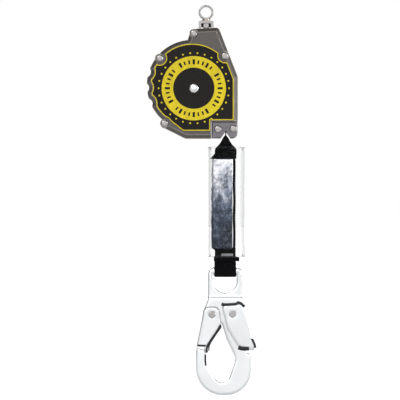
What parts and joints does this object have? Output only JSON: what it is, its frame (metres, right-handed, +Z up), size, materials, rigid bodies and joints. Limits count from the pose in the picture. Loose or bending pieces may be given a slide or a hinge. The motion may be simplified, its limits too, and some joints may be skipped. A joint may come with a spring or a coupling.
{
  "type": "self retracting lifeline",
  "caption": "Webbing fall-arrest block hung from a swivel eye, with a shock pack and a double-locking snap hook on its line.",
  "frame": {"origin": "centre of the swivel eye's bore", "axes": "+Z up along the hanging line, -Y out of the front label, +X to the right seen from the front"},
  "size_m": [0.124, 0.0739, 0.4486],
  "materials": {
    "housing_grey": "satin",
    "label_black": "gloss",
    "zinc_steel": "satin",
    "bright_steel": "polished",
    "frame_steel": "satin",
    "spring_steel": "satin",
    "cast_grey": "cast",
    "black_plastic": "satin",
    "bronze": "satin",
    "webbing_black": "woven",
    "silver_film": "gloss",
    "clear_vinyl": "gloss"
  },
  "bodies": {
    "housing": {"front_cover": "housing_grey", "rear_cover": "housing_grey", "front_label": "label_black", "rear_label": "label_black", "cover_screws": "zinc_steel", "cover_nuts": "zinc_steel", "exit_block": "cast_grey", "web_guide": "black_plastic", "front_plate": "frame_steel", "rear_plate": "frame_steel", "frame_spacers": "frame_steel", "frame_screws": "frame_steel", "anchor_block": "frame_steel", "anchor_yoke": "zinc_steel", "yoke_cross_bolt": "zinc_steel", "swivel_washer": "bronze", "axle": "bright_steel", "axle_nut": "zinc_steel", "ratchet_ring": "frame_steel", "spring_case": "frame_steel", "spring_case_cover": "frame_steel"},
    "swivel": {"swivel_eye": "zinc_steel", "swivel_nut": "zinc_steel"},
    "drum": {"drum_hub": "black_plastic", "drum_flange_front": "cast_grey", "drum_flange_rear": "cast_grey", "drum_rivets": "frame_steel", "drum_bushings": "bronze", "spring_arbor": "frame_steel", "web_coil": "webbing_black", "power_spring": "spring_steel", "pawl_pins": "frame_steel", "pawl_springs": "spring_steel"},
    "pawl_a": {"pawl_1": "frame_steel"},
    "pawl_b": {"pawl_2": "frame_steel"},
    "line": {"lifeline_web": "webbing_black"},
    "absorber": {"twisted_web": "webbing_black", "tear_web_core": "webbing_black", "side_web": "webbing_black", "pack_wrap": "silver_film", "clear_sleeve": "clear_vinyl", "lower_strap": "webbing_black", "hook_loop": "webbing_black", "loop_keeper": "webbing_black"},
    "hook": {"hook_body": "bright_steel", "gate_rivet": "zinc_steel", "lever_rivet": "zinc_steel"},
    "gate": {"gate": "bright_steel"},
    "lever": {"lock_lever": "bright_steel", "lever_spring": "spring_steel"}
  },
  "joints": [
    {"name": "eye_swivel", "type": "hinge", "parent": "housing", "child": "swivel", "pos_m": [0, 0, 0], "axis": [0, 0, 1], "continuous": true},
    {"name": "line_payout", "type": "slide", "parent": "housing", "child": "line", "axis": [0, 0, -1], "range_m": [0, 2.986], "stiffness_N_per_m": 3, "springref_m": -5, "deforming": ["lifeline_web", "power_spring"]},
    {"name": "drum_spin", "type": "hinge", "parent": "housing", "child": "drum", "pos_m": [-0.0141, 0, -0.0877], "axis": [0, 1, 0], "range_deg": [0, 6481]},
    {"name": "pawl_1_swing", "type": "hinge", "parent": "drum", "child": "pawl_a", "pos_m": [-0.0141, 0.0166, -0.0637], "axis": [0, -1, 0], "range_deg": [0, 18], "stiffness_Nm_per_rad": 0.02, "springref_deg": -17.19, "deforming": ["pawl_springs"]},
    {"name": "pawl_2_swing", "type": "hinge", "parent": "drum", "child": "pawl_b", "pos_m": [-0.0141, 0.0166, -0.1117], "axis": [0, -1, 0], "range_deg": [0, 18], "stiffness_Nm_per_rad": 0.02, "springref_deg": -17.19},
    {"name": "line_swing", "type": "hinge", "parent": "line", "child": "absorber", "pos_m": [0.02255, 0, -0.1415], "axis": [0, 1, 0], "range_deg": [-15, 15]},
    {"name": "hook_swing", "type": "hinge", "parent": "absorber", "child": "hook", "pos_m": [0.022, 0, -0.2975], "axis": [1, 0, 0], "range_deg": [-70, 70]},
    {"name": "lever_squeeze", "type": "hinge", "parent": "hook", "child": "lever", "pos_m": [0.0306, 0, -0.3467], "axis": [0, 1, 0], "range_deg": [0, 8], "stiffness_Nm_per_rad": 0.5, "springref_deg": -17.19, "deforming": ["lever_spring"]},
    {"name": "gate_open", "type": "hinge", "parent": "hook", "child": "gate", "pos_m": [0.0069, 0, -0.3473], "axis": [0, -1, 0], "range_deg": [0, 38.5]}
  ],
  "couplings": [
    {"joint": "drum_spin", "follows": "line_payout", "rad_per_m": 37.876},
    {"joint": "gate_open", "follows": "lever_squeeze", "ratio": 4.75}
  ]
}
